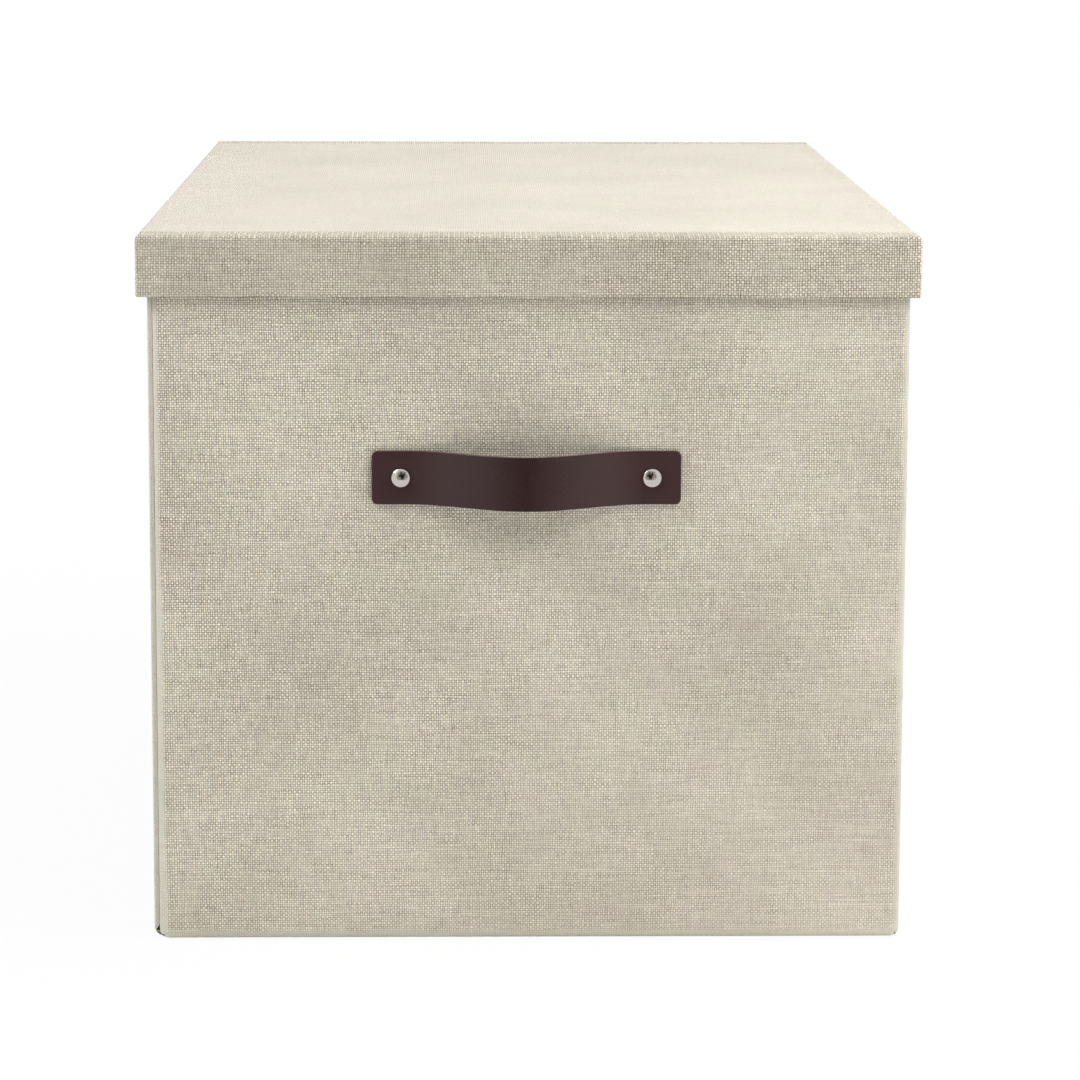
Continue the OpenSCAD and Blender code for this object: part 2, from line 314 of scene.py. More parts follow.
def floor_white():
    """Matt white, brightened where it is seen, most of all far from the box."""
    s = material("floor white")
    spot = s.node("TexCoord", {}, {}, "Object")
    distance = s.node("VectorMath", {"operation": "LENGTH"}, {0: spot}, "Value")
    brightened = FLOOR_WHITE + distance.rise(FLOOR_NEAR, FLOOR_FAR) * (1 - FLOOR_WHITE)
    matt = s.node("BsdfDiffuse", {}, {"Color": FLOOR_COLOUR})
    white = s.node("Emission", {}, {"Color": WHITE, "Strength": 1.0})
    return s.finish(s.node("MixShader", {}, {0: seen(s) * brightened, 1: matt, 2: white}))


def card_dark():
    """Dark in the middle with paler patches, then grey, and white at the edge."""
    s = material("dark card")
    half = (CARD_SIZE[0] / 2, 1, CARD_SIZE[1] / 2)
    spot = s.node("TexCoord", {}, {}, "Object")
    oval = s.node("VectorMath", {"operation": "SUBTRACT"}, {0: spot, 1: CARD_PLACE})
    oval = s.node("VectorMath", {"operation": "DIVIDE"}, {0: oval, 1: half})
    out = s.node("VectorMath", {"operation": "LENGTH"}, {0: oval}, "Value")
    cloud = s.noise(spot, 7, 2, 0.6)
    edge = out + cloud * 0.6 - 0.3
    level = edge.rise(0.35, 0.6) * 0.4 + edge.rise(0.8, 1.0) * 0.6
    level = level + cloud.rise(0.46, 0.6) * 0.25 + CARD_DARK
    return s.finish(s.node("Emission", {}, {"Color": CARD_COLOUR, "Strength": level.smaller(1.0)}))


stage_plane("floor", FLOOR_SIZE, FLOOR_PLACE, 0, floor_white())
card = stage_plane("dark card", CARD_SIZE, CARD_PLACE, math.radians(90), card_dark())
card.visible_camera = False
card.visible_diffuse = False
card.visible_shadow = False

# %% [markdown]
# ## Threads
#
# The cover is a plain weave of about one thread a millimetre, pasted on paper.
# Threads as geometry would have over half a million crossings, so they are
# arithmetic on a UV map measured in metres along the cloth. It follows the folds
# without stretching: u runs across and v up, and the scales of noise are per
# millimetre.
#
# Each thread is a half-round ridge that rises and dips as a sine, and at every
# second crossing the upright thread is on top. Slow noise lets the threads
# wander. Noise along each thread changes its thickness and tone, and the noise
# of each crossing and of the twisted fibres makes them uneven, as yarn is.

# %% Weave the threads
WEAVE_MAP = "cloth"
ASIDE = (37.0, 91.0, 11.0)
WANDER = 1.2
UNEVEN_U = 0.9
UNEVEN_V = 0.8
HALF_U = 0.49
HALF_V = 0.41
HALF_CHANGE = 0.4
GAP_BELOW = 0.6
TONE_U = 0.5
TONE_V = 1.6


class Weave:
    """What the threads are like at each point of a cloth. pitch is in millimetres, for u and v."""

    def __init__(self, s, pitch, seed):
        self.s = s
        self.seed = seed
        cloth = s.node("UVMap", {"uv_map": WEAVE_MAP}, {})
        self.u_mm = s.node("SeparateXYZ", {}, {0: cloth}) * 1000
        self.v_mm = s.node("SeparateXYZ", {}, {0: cloth}, 1) * 1000
        self.place = s.node("CombineXYZ", {}, {0: self.u_mm, 1: self.v_mm, 2: seed})
        self.aside = s.node("VectorMath", {"operation": "ADD"}, {0: self.place, 1: ASIDE})

        wander_u = self.noise(self.place, 0.08, 2, (1, 0.3, 1)) * WANDER
        wander_v = self.noise(self.aside, 0.08, 2, (0.3, 1, 1)) * WANDER
        u = self.u_mm / pitch[0] + wander_u + self.noise(self.place, 0.5, 1, (1, 0.35, 1)) * UNEVEN_U
        v = self.v_mm / pitch[1] + wander_v + self.noise(self.aside, 0.5, 1, (0.08, 1, 1)) * UNEVEN_V
        column = u.floor()
        row = v.floor()
        self.thick_u = self.along(column, self.v_mm, 0.12, 3)
        self.thick_v = self.along(row, self.u_mm, 0.10, 9)
        tone_u = self.along(column, self.v_mm, 0.03, 21) * TONE_U
        tone_v = self.along(row, self.u_mm, 0.025, 27) * TONE_V

        self.wave_u = (u * math.pi).sin()
        self.wave_v = (v * math.pi).sin()
        height_u = self.ridge(u - column, HALF_U, self.thick_u)
        height_v = self.ridge(v - row, HALF_V, self.thick_v)
        height_u = height_u * (1 + self.wave_u.math("SIGN") * self.wave_v)
        height_v = height_v * (1 - self.wave_v.math("SIGN") * self.wave_u)
        self.upright = height_u.above(height_v)
        self.crown = height_u.larger(height_v) * 0.5
        self.gap = (GAP_BELOW - self.crown).larger(0.0) / GAP_BELOW

        twist_u = s.node("CombineXYZ", {}, {0: u * 9 + v * 3, 1: v * 1.5, 2: column})
        twist_v = s.node("CombineXYZ", {}, {0: u * 1.5, 1: v * 9 + u * 3, 2: row})
        self.fibre = self.of_top(s.noise(twist_u, 1.0), s.noise(twist_v, 1.0)) - 0.5
        self.thick = self.of_top(self.thick_u, self.thick_v)
        self.tone = self.of_top(tone_u, tone_v)
        cell = s.node("CombineXYZ", {}, {0: column, 1: row, 2: seed})
        self.chance = s.node("TexWhiteNoise", {"noise_dimensions": "3D"}, {"Vector": cell}) - 0.5

    def noise(self, vector, scale, detail=2.0, stretch=(1, 1, 1)):
        """Noise around zero."""
        return self.s.noise(vector, scale, detail, 0.5, stretch) - 0.5

    def along(self, thread, length, scale, shift):
        """Noise that runs along each thread and differs from one thread to the next."""
        spot = {0: thread * 7.31, 1: length * scale, 2: self.seed + shift}
        return self.noise(self.s.node("CombineXYZ", {}, spot), 1.0)

    def ridge(self, across, half, thick):
        """The half-round height of a thread, at a place from 0 to 1 across it."""
        return (1 - ((across - 0.5) / (half + thick * HALF_CHANGE)) ** 2).larger(0.0) ** 0.5

    def of_top(self, upright, level):
        """The value of whichever thread is on top."""
        return upright * self.upright + level * (1 - self.upright)


# %% [markdown]
# ## Folds and the lid's top
#
# Where cloth is pulled over a fold, its threads are pressed flat. In the
# photograph such a band is smoother than the rest, and here it is painted a
# little paler, as a highlight, and past the front's right fold darker, as shade.
# The lid's top is calm and painted pale, as a sheen, its sides are painted a
# little darker than the body's cloth, as shade, and near its front edge the
# threads stand out as ribs, painted a little darker, as shade. Separate pieces
# of cloth would break the pattern at their joins, so all of it is one cloth
# with masks, numbers from 0 to 1 that fade softly.

# %% Mask the folds and the top
FOLD_SOFT = 1.2
FOLD_WANDER = 3
FRONT_RIBS = (-18, -11)
SIDE_RIBS = (-9, -4)
SIDE_RIB_SHARE = 0.1
TOP_END = (1.6, 3.3)
RIB_END = (2.2, 3.4)


def fold_masks(s, weave, folds_u, folds_v):
    """The mask of all folds, and the painted light or shade they add. A fold is (low, high, slant,
    painted light).
    """
    nothing = s.math("ADD", 0.0, 0.0)
    folded, light = nothing, nothing
    directions = ((weave.u_mm, weave.v_mm, folds_u), (weave.v_mm, weave.u_mm, folds_v))
    for coordinate, other, folds in directions:
        for low, high, slant, change in folds:
            low, high = low / MM, high / MM
            spot = coordinate + weave.noise(weave.aside, 0.05) * FOLD_WANDER + other * slant
            past_low = spot.rise(low - FOLD_SOFT, low + FOLD_SOFT)
            past_high = spot.rise(high - FOLD_SOFT, high + FOLD_SOFT)
            inside = past_low * (1 - past_high)
            folded = folded.larger(inside)
            # Each band adds its painted light; a negative amount is painted shade.
            light = light + inside * change
    return folded, light


def top_masks(weave, half):
    """The masks of the lid's flat top and of the ribs near its side and front edges."""
    past_u = abs(weave.u_mm) - half[0] / MM
    past_v = abs(weave.v_mm) - half[1] / MM
    past = past_u.larger(past_v)
    before_end = 1 - past.rise(*RIB_END)
    ribs_u = past_u.rise(*SIDE_RIBS) * before_end * SIDE_RIB_SHARE
    ribs_v = past_v.rise(*FRONT_RIBS) * before_end
    return 1 - past.rise(*TOP_END), ribs_u, ribs_v


# %% [markdown]
# ## Woven cloth
#
# The upright threads are paler than the level ones, so the cloth reads as a fine
# chequer. Its gaps are painted dark, as shade, and the thread crowns paler, as
# highlights. Over that lie cloudy patches, and a slow wave of painted raking
# light that leaves one corner of a wall crisper than the opposite one.
# Everything adds up to one light level, and that mixes a deep and a pale
# colour. Mixing the parts one after another would need a colour for each. A
# faint drift between two hues keeps it from looking printed, and the bump takes
# its height from the threads.

# %% Dye the cloth
CLOTH_PALE = linear(253, 245, 229)
CLOTH_DEEP = linear(100, 88, 62)
FOLD_PAINTED_HIGHLIGHT = linear(213, 212, 200)
TOP_PAINTED_SHEEN = linear(226, 221, 211)
HUE_WARM = (1.0, 0.985, 1.0, 1)
HUE_COOL = (0.985, 1.0, 0.97, 1)
BODY_LIGHT = 0.565
BODY_CONTRAST = 1.12
SIDE_PAINTED_SHADE_LEVEL = 0.485
SIDE_CONTRAST = 1.4
TOP_LIGHT = 0.53
TOP_CONTRAST = 0.95
TOP_SHEEN_SHARE = 0.5
UPRIGHT_PALE = 0.15
GAP_PAINTED_SHADE = 1.25
CROWN_PAINTED_HIGHLIGHT = 0.1
MEAN_UPRIGHT = 0.4
MEAN_GAP = 0.13
MEAN_CROWN = 0.7
THICK = 0.08
CHANCE = 0.14
FIBRE = 0.2
TONE = 0.28
PATCH = 0.4
RAKING_SLANT = 1.1
RAKING_TURN = 0.00507
RAKING_START = 0.84
FOLD_FLAT = 0.6
FOLD_HIGHLIGHT_SHARE = 0.45
RIB_WAVE = 0.18
RIB_PALE = 0.4
RIB_PAINTED_SHADE = -0.1
RIB_CONTRAST = 0.7


def woven(name, pitch, folds_u=(), folds_v=(), seed=0.0, top=None):
    """Cloth with its folds. top is half the width and depth of the lid's flat top.

    Each part of the relief counts from its mean, so that the mean stays at the base level.
    """
    s = material(name)
    weave = Weave(s, pitch, seed)
    folded, painted_fold_light = fold_masks(s, weave, folds_u, folds_v)
    # The gaps between threads are painted dark, as shade, and the crowns paler, as highlights.
    relief = (weave.upright - MEAN_UPRIGHT) * UPRIGHT_PALE - (weave.gap - MEAN_GAP) * GAP_PAINTED_SHADE
    relief = relief + (weave.crown - MEAN_CROWN) * CROWN_PAINTED_HIGHLIGHT
    relief = relief + weave.thick * THICK + weave.chance * CHANCE + weave.fibre * FIBRE
    base, contrast = BODY_LIGHT, BODY_CONTRAST
    if top:
        on_top, ribs_u, ribs_v = top_masks(weave, top)
        ribbed = ribs_u.larger(ribs_v)
        # The lid's sides sit at a lower level than the body's cloth: painted shade.
        base = SIDE_PAINTED_SHADE_LEVEL + on_top * (TOP_LIGHT - SIDE_PAINTED_SHADE_LEVEL)
        contrast = SIDE_CONTRAST + on_top * (TOP_CONTRAST - SIDE_CONTRAST) + ribbed * RIB_CONTRAST
    rough = weave.noise(weave.aside, 0.06, 3)
    # A slow wave across each wall makes the painted relief crisper at one corner: painted raking light.
    raking_light = ((weave.u_mm - weave.v_mm * RAKING_SLANT) * RAKING_TURN + RAKING_START).sin()
    relief = relief * contrast * (0.92 + rough - raking_light * 0.32)
    patch = weave.noise(weave.place, 0.012, 3)
    light = base + relief * (1 - folded * FOLD_FLAT) + weave.tone * TONE + patch * PATCH + painted_fold_light
    if top:
        level_ribs = (weave.wave_v * RIB_WAVE + weave.thick_v) * ribs_u
        upright_ribs = (weave.wave_u * RIB_WAVE + weave.thick_u) * ribs_v
        # The ribbed band near the top's edges is painted a little darker, as shade.
        light = light + (level_ribs + upright_ribs) * RIB_PALE + ribbed * RIB_PAINTED_SHADE

    colour = s.mix(light, CLOTH_DEEP, CLOTH_PALE)
    # Every fold band is mixed towards a pale colour: a painted highlight.
    colour = s.mix(folded * FOLD_HIGHLIGHT_SHARE, colour, FOLD_PAINTED_HIGHLIGHT)
    hue = s.mix(weave.noise(weave.aside, 0.04, 3) * 3.0 + 0.5, HUE_WARM, HUE_COOL)
    colour = s.mix(1.0, colour, hue, "MULTIPLY")
    if top:
        # The lid's flat top is mixed towards a calm pale colour: a painted sheen.
        colour = s.mix(on_top * (1 - ribbed * 0.7) * TOP_SHEEN_SHARE, colour, TOP_PAINTED_SHEEN)
    height = weave.crown * (1 - folded * 0.7) + weave.thick * 0.2 + weave.fibre * 0.15
    bump = s.node("Bump", {}, {"Strength": 0.8, "Distance": 0.16 * MM, "Height": height})
    print(name, "has", len(s.tree.nodes), "nodes")
    return s.principled({
        "Base Color": colour, "Roughness": 0.85, "Specular IOR Level": 0.25, "Normal": bump,
    })


# %% [markdown]
# ## Fold a box
#
# Cloth pulled tight over board is a box with rounded edges. It could be a grid
# draped by simulation, but paste leaves nothing to drape. So each cover starts
# as a cube of its outside size, and a bevel with a weight on each edge rounds
# the folds: all of the radius where two walls meet, and none at the open side.

# %% Round the edges of a box
FOLD_R = 4.0 * MM
FOLD_STEPS = 8


def folded_box(low, high, radius, weight):
    """A box with rounded edges. weight(middle of an edge) is its share of the radius."""
    bm = bmesh.new()
    bmesh.ops.create_cube(bm, size=1)
    bmesh.ops.scale(bm, vec=high - low, verts=bm.verts)
    bmesh.ops.translate(bm, vec=(low + high) / 2, verts=bm.verts)
    weights = bm.edges.layers.float.new("bevel_weight_edge")
    for edge in bm.edges:
        edge[weights] = weight((edge.verts[0].co + edge.verts[1].co) / 2)
    mesh = bpy.data.meshes.new("folding")
    bm.to_mesh(mesh)
    bm.free()
    holder = bpy.data.objects.new("folding", mesh)
    bpy.context.scene.collection.objects.link(holder)
    bevel = holder.modifiers.new("Folds", "BEVEL")
    bevel.limit_method = "WEIGHT"
    bevel.width = radius
    bevel.segments = FOLD_STEPS
    bevel.profile = 0.5
    rounded = holder.evaluated_get(bpy.context.evaluated_depsgraph_get())
    bm = bmesh.new()
    bm.from_mesh(rounded.to_mesh())
    rounded.to_mesh_clear()
    bpy.data.objects.remove(holder)
    bpy.data.meshes.remove(mesh)
    for layer in list(bm.edges.layers.float):
        bm.edges.layers.float.remove(layer)
    return bm


# %% [markdown]
# ## Turn the cloth in
#
# At the open side the cloth goes over the edge of the board and a little way
# down inside. The open face is extruded twice. The first time its outline is
# pulled in, which makes the rim, and the second time it is pushed into the box.
# A small bevel then rounds the rim. A Solidify modifier alone would give the rim
# no such turned-in margin. Places less than a hair apart count as the same.

# %% Make the rim
INNER_R = 0.3 * MM
RIM_R = 0.7 * MM
CORNER_ANGLE = 1.2
HAIR = 1e-6


def flat_face(bm, up, level):
    """The largest level face at a height, looking up (+1) or down (-1)."""
    faces = [
        f for f in bm.faces
        if f.normal.z * up > 0.99 and abs(f.calc_center_median().z - level) < 10 * HAIR
    ]
    return max(faces, key=lambda f: f.calc_area())


def turn_cloth(bm, up, level, inner, depth, rim_r):
    """Opens the face at a level: a rim up to an inner rectangle, then cloth turned in by a depth."""
    face = flat_face(bm, up, level)
    low, high = inner
    for shift in (0, -up * depth):
        moved = bmesh.ops.extrude_face_region(bm, geom=[face])["geom"]
        bmesh.ops.delete(bm, geom=[face], context="FACES_ONLY")
        face = next(g for g in moved if isinstance(g, bmesh.types.BMFace))
        for v in face.verts:
            core = Vector((
                min(max(v.co.x, low[0] + INNER_R), high[0] - INNER_R),
                min(max(v.co.y, low[1] + INNER_R), high[1] - INNER_R),
                v.co.z,
            ))
            v.co = core + (v.co - core).normalized() * INNER_R + Vector((0, 0, shift))
    bmesh.ops.delete(bm, geom=[face], context="FACES")
    rim = [
        e for e in bm.edges
        if len(e.link_faces) == 2 and e.calc_face_angle(0) > CORNER_ANGLE
        and all(abs(v.co.z - level) < HAIR for v in e.verts)
    ]
    bmesh.ops.bevel(
        bm, geom=rim, offset=rim_r, offset_type="OFFSET", affect="EDGES",
        segments=3, profile=0.5, material=-1,
    )


# %% [markdown]
# ## Cut sheets from the shell
#
# A folded shell is cut into one sheet for each side of the box, so that a
# finish baked to a picture for each piece would be fine enough for the
# threads. The cuts lie on flat cloth a few millimetres past a fold, where they
# don't show. Last, each sheet gets its thickness and its coordinates, and a
# modifier lets the large flat faces decide the shading, so that only the folds
# look round.

# %% Cut, thicken and hand over a sheet
CLOTH_T = 0.4 * MM
PAST_FOLD = 6 * MM


def cut_at(bm, place, normal):
    """Adds a line of edges where a plane crosses the mesh."""
    geom = bm.verts[:] + bm.edges[:] + bm.faces[:]
    bmesh.ops.bisect_plane(bm, geom=geom, plane_co=place, plane_no=normal, dist=HAIR / 10)


def share(bm, keep):
    """A copy of the faces whose middle passes a test."""
    piece = bm.copy()
    out = [f for f in piece.faces if not keep(f.calc_center_median())]
    bmesh.ops.delete(piece, geom=out, context="FACES")
    return piece


def object_from(bm, name, look, body):
    """A finished piece that rides on a body."""
    for face in bm.faces:
        face.smooth = True
    mesh = bpy.data.meshes.new(name)
    bm.to_mesh(mesh)
    bm.free()
    made = bpy.data.objects.new(name, mesh)
    mesh.materials.append(look)
    bpy.context.scene.collection.objects.link(made)
    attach(made, body)
    print(name, len(mesh.polygons), "faces")
    return made


def even_normals(made):
    """Lets large flat faces decide the shading."""
    modifier = made.modifiers.new("Normals", "WEIGHTED_NORMAL")
    modifier.weight = 100
    modifier.keep_sharp = True


def cloth_piece(bm, name, unroll, look, body, node):
    """Gives a cut sheet its thickness and its coordinates along the cloth."""
    bmesh.ops.solidify(bm, geom=bm.faces[:], thickness=CLOTH_T)
    uv = bm.loops.layers.uv.new(WEAVE_MAP)
    bm.normal_update()
    for face in bm.faces:
        for loop in face.loops:
            loop[uv].uv = unroll(loop.vert.co, face.normal)
    made = object_from(bm, name, look, body)
    even_normals(made)
    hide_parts(node)


# %% [markdown]
# ## Measure along the cloth
#
# The threads must keep their size over a fold. An unwrap by angles would slant
# and stretch them a little, so the coordinates are worked out from the shape. A
# fold of radius r takes up a quarter circle of cloth. Past its start, a point is
# as far along the cloth as its angle on that quarter, and past its end the
# distance goes on over the next face.

# %% Unroll the folds
BODY_WALL = 2.6 * MM


def bend(place, start, depth, radius):
    """How far along the cloth a point lies. depth is what is left of the fold before its end."""
    if place <= start and depth > 0:
        return place
    if depth < 0:
        return start + radius * math.pi / 2 - depth
    return start + radius * math.atan2(place - start, max(depth, 1e-9))


class Wall:
    """One wall of the body, seen from outside: across runs to the right."""

    def __init__(self, turn, low, high, start):
        self.turn = Matrix.Rotation(-turn, 3, "Z")
        corners = [self.turn @ Vector((x, y, 0)) for x in (low.x, high.x) for y in (low.y, high.y)]
        self.left = min(c.x for c in corners) + FOLD_R
        self.right = max(c.x for c in corners) - FOLD_R
        self.front = min(c.y for c in corners)
        self.low = low.z + FOLD_R
        self.high = high.z
        self.start = start

    def unroll(self, co, _way):
        """u and v of a point. Which way its face looks makes no difference here."""
        p = self.turn @ co
        depth = FOLD_R - (p.y - self.front)
        across = bend(p.x, self.right, depth, FOLD_R)
        if p.x < self.left:
            across = -bend(-p.x, -self.left, depth, FOLD_R)
        up = p.z
        if p.z < self.low:
            up = -bend(-p.z, -self.low, depth, FOLD_R)
        inward = min(p.y - self.front, p.x - self.left + FOLD_R, self.right + FOLD_R - p.x)
        if p.z > self.high - RIM_R / 2:
            up = self.high + inward
        elif inward > BODY_WALL / 2 and p.z > self.low:
            up = self.high + BODY_WALL + self.high - p.z
        return (across + self.start, up)


# %% [markdown]
# ## Front of the body
#
# On the real box the front panel folds back at its left end and disappears into
# a seam, one covered wall inside the left wall's outside. The left wall ends a
# few millimetres behind the front, with its cloth wrapped round the edge. One
# shell can't hold both, so the front comes from one folded box and the other
# three walls from another. Its left fold leans a little and its band is painted
# paler, as light, and past its right one the band is painted darker, as shade.

# %% Fold and cut the front
SEAM_IN = 2.4 * MM
FLAP_DEPTH = 36 * MM
TURN_IN = 15 * MM
TURN_UNDER = 24 * MM
BODY_PITCH = (0.985, 0.99)
BODY_SEED = 1.0
FOLD_SLANT = 0.0085
LEFT_FOLD_PAINTED_LIGHT = 0.2
RIGHT_FOLD_PAINTED_SHADE = -0.24
SHADE_PAST = 0.3
QUARTER = FOLD_R * math.pi / 2


def body_weight(middle):
    """1 for a side edge, 0 for the edges of the open top, 1 for those of the base."""
    return 0.0 if middle.z > body_high.z - HAIR else 1.0


def body_shell(low, high, weight, left_wall):
    """The whole cover of a box, open above, with its margins turned in and under."""
    bm = folded_box(low, high, FOLD_R, weight)
    base = flat_face(bm, -1, low.z)
    bmesh.ops.inset_region(bm, faces=[base], thickness=TURN_UNDER - FOLD_R, use_even_offset=True)
    bmesh.ops.delete(bm, geom=[base], context="FACES")
    inner = (
        (low.x + left_wall, low.y + BODY_WALL),
        (high.x - BODY_WALL, high.y - BODY_WALL),
    )
    turn_cloth(bm, 1, high.z, inner, TURN_IN, RIM_R)
    return bm


def nearest_wall(c, low, high):
    """Which wall a margin under the base belongs to, if the point lies under it."""
    gaps = {"left": c.x - low.x, "right": high.x - c.x, "front": c.y - low.y, "back": high.y - c.y}
    if c.z > low.z + HAIR or min(gaps.values()) < FOLD_R - HAIR:
        return ""
    return min(gaps, key=gaps.get)


front_low = Vector((body_low.x + SEAM_IN, body_low.y, body_low.z))
front_shell = body_shell(front_low, body_high, body_weight, BODY_WALL)
front_y = body_low.y + FOLD_R + PAST_FOLD
flap_y = body_low.y + FLAP_DEPTH
cut_at(front_shell, (0, front_y, 0), (0, 1, 0))
cut_at(front_shell, (0, flap_y, 0), (0, 1, 0))


def in_front(c):
    """The front wall, its folds and the flap that runs back inside the left wall."""
    margin = nearest_wall(c, front_low, body_high)
    if margin:
        return margin == "front"
    if c.y < front_y:
        return True
    return c.x < front_low.x + BODY_WALL + 10 * HAIR and c.y < flap_y and c.z > body_low.z + FOLD_R


def foot_fold(wall):
    """The plain fold at the foot of a wall."""
    return ((wall.low - QUARTER, wall.low, 0.0, 0.0),)


front_wall = Wall(0, front_low, body_high, 0.0)
# The left fold's band is painted light, and the band just past the right fold is painted shade.
shade = front_wall.right + SHADE_PAST * QUARTER
front_folds = (
    (front_wall.left - QUARTER, front_wall.left, FOLD_SLANT, LEFT_FOLD_PAINTED_LIGHT),
    (shade, shade + QUARTER, 0.0, RIGHT_FOLD_PAINTED_SHADE),
)
cloth_piece(
    share(front_shell, in_front), "front_cloth", front_wall.unroll,
    woven("woven cloth front", BODY_PITCH, front_folds, foot_fold(front_wall), BODY_SEED),
    "box", "body_cover",
)
front_shell.free()

# %% [markdown]
# ## The other walls
#
# The second shell starts behind the front panel and is cut on the same planes.
# The left wall's front edge is rounded tightly, where its cloth is wrapped, and
# its foot is as round as the others.

# %% Fold the other walls
SEAM_SETBACK = 5.0 * MM
SEAM_EDGE_R = 0.8 * MM
side_low = Vector((body_low.x, body_low.y + SEAM_SETBACK, body_low.z))


def side_weight(middle):
    """The left wall's wrapped edge is tight, the edges of the open top stay sharp."""
    if middle.z > body_high.z - HAIR:
        return 0.0
    wrapped = middle.x < body_low.x + HAIR and middle.y < side_low.y + HAIR
    return SEAM_EDGE_R / FOLD_R if wrapped else 1.0


side_shell = body_shell(side_low, body_high, side_weight, SEAM_IN)
back_y = body_high.y - FOLD_R - PAST_FOLD
cut_at(side_shell, (0, back_y, 0), (0, 1, 0))
cut_at(side_shell, (0, front_y, 0), (0, 1, 0))
cut_at(side_shell, (body_low.x + SEAM_IN, 0, 0), (1, 0, 0))
print("side shell", len(side_shell.faces), "faces")

# %% [markdown]
# ## The wrapped edge
#
# Beside the front panel's fold a strip of the left wall's wrapped edge shows.
# Its cloth turns in towards the panel, more openly towards its foot, and at the
# foot it is cut away in a small notch, where folded cloth would bunch up. A
# bevel would give the same radius all the way up, so the strip is cut into
# narrow bands, and their points are moved back, by less the higher they are.

# %% Wrap the edge and cut the notch
WRAP_W = 2.2 * MM
WRAP_R = 0.25 * MM
WRAP_SHUT = 0.35 * MM
WRAP_OPEN = 0.9
WRAP_STEPS = (0.4 * MM, 0.25 * MM, 0.12 * MM, 0.04 * MM, 0.0)
NOTCH_LOW = 2.7 * MM
NOTCH_HIGH = 5.5 * MM
NOTCH_W = 1.8 * MM

wrap_x = body_low.x + WRAP_W
for step in WRAP_STEPS:
    cut_at(side_shell, (wrap_x - step, 0, 0), (1, 0, 0))


def wrap_edge(bm):
    """Rounds the wrapped edge on its inner side and cuts the notch at its foot."""
    bm.normal_update()
    rounded = [
        v for v in bm.verts
        if wrap_x - WRAP_R + HAIR < v.co.x < wrap_x + HAIR
        and v.co.y < front_y - HAIR and v.co.z < body_high.z - 2 * RIM_R
    ]
    ways = [Vector((0, -v.normal.y, -v.normal.z)).normalized() for v in rounded]
    for v, way in zip(rounded, ways):
        past = v.co.x - (wrap_x - WRAP_R)
        share_up = v.co.z / body_high.z
        drop = WRAP_R - math.sqrt(max(WRAP_R ** 2 - past ** 2, 0))
        v.co += way * drop * (1 - share_up * WRAP_OPEN)
        v.co.x += WRAP_SHUT * share_up * past / WRAP_R
    low, high = body_low.z + NOTCH_LOW, body_low.z + NOTCH_HIGH
    foot = Vector((body_low.x + SEAM_IN - NOTCH_W, 0, low))
    slant = Vector((high - low, 0, foot.x - wrap_x))
    cut_at(bm, (0, 0, low), (0, 0, 1))
    cut_at(bm, (0, 0, high), (0, 0, 1))
    cut_at(bm, foot, slant)
    gone = []
    for f in bm.faces:
        c = f.calc_center_median()
        if c.y < front_y and low < c.z < high and (c - foot).dot(slant) > 0:
            gone.append(f)
    bmesh.ops.delete(bm, geom=gone, context="FACES")
    print("wrapped edge", len(rounded), "points rounded,", len(gone), "faces cut away")


# %% [markdown]
# ## Cut the walls apart
#
# Under the base the margins of the four walls meet on mitres, as a bookbinder
# cuts them. Each point there belongs to the wall that is nearest, and one more
# cut makes the mitre beside the front's margin. The threads run on from wall to
# wall, so each wall starts to count where the one before it ends.

# %% Cut the right, back and left walls
# The wrapped strip lies set back in the front panel's shade, and a band of it is painted paler, as
# light, like a fold band with its painted highlight.
WRAP_BAND = (2.5 * MM, 12 * MM)
WRAP_PAINTED_LIGHT = 0.24
cut_at(side_shell, front_low, (1, -1, 0))


def margin_under(c):
    """As nearest_wall, up to the mitre of the front's margin."""
    margin = nearest_wall(c, side_low, body_high)
    if margin == "front":
        return "left" if c.x - front_low.x < c.y - front_low.y else "front"
    return margin


def in_back(c):
    margin = margin_under(c)
    return margin == "back" if margin else c.y > back_y


def in_right(c):
    margin = margin_under(c)
    return margin == "right" if margin else front_y < c.y < back_y and c.x > 0


def in_left(c):
    margin = margin_under(c)
    if margin:
        return margin == "left"
    if c.y < front_y:
        return c.x < wrap_x + 10 * HAIR
    return c.y < back_y and c.x < 0


right_wall = Wall(math.radians(90), body_low, body_high, 0.0)
back_wall = Wall(math.radians(180), body_low, body_high, 0.0)
left_wall = Wall(math.radians(270), side_low, body_high, 0.0)
right_wall.start = front_wall.right + QUARTER - right_wall.left
back_wall.start = right_wall.start + right_wall.right + QUARTER - back_wall.left
left_wall.start = back_wall.start + back_wall.right + QUARTER - left_wall.left
back_left = back_wall.start + back_wall.left
back_right = back_wall.start + back_wall.right
wrap_start = left_wall.start + left_wall.right
back_folds = (
    (back_left - QUARTER, back_left, 0.0, 0.0),
    (back_right, back_right + QUARTER, 0.0, 0.0),
)
wrap_painted_light = ((wrap_start + WRAP_BAND[0], wrap_start + WRAP_BAND[1], 0.0, WRAP_PAINTED_LIGHT),)

for side, keep, wall, folds in (
    ("right", in_right, right_wall, ()),
    ("back", in_back, back_wall, back_folds),
    ("left", in_left, left_wall, wrap_painted_light),
):
    sheet = share(side_shell, keep)
    if side == "left":
        wrap_edge(sheet)
    look = woven("woven cloth " + side, BODY_PITCH, folds, foot_fold(wall), BODY_SEED)
    cloth_piece(sheet, side + "_cloth", wall.unroll, look, "box", "body_cover")
side_shell.free()

# %% [markdown]
# ## Cover of the lid
#
# The lid's cloth is one sheet folded down on all four sides, so one shell makes
# it. Its coordinates run across the top and on down each side, as the threads
# do, so the pattern has no break along the top edges. At the upright corners,
# the way a face looks tells which side's cloth it is.

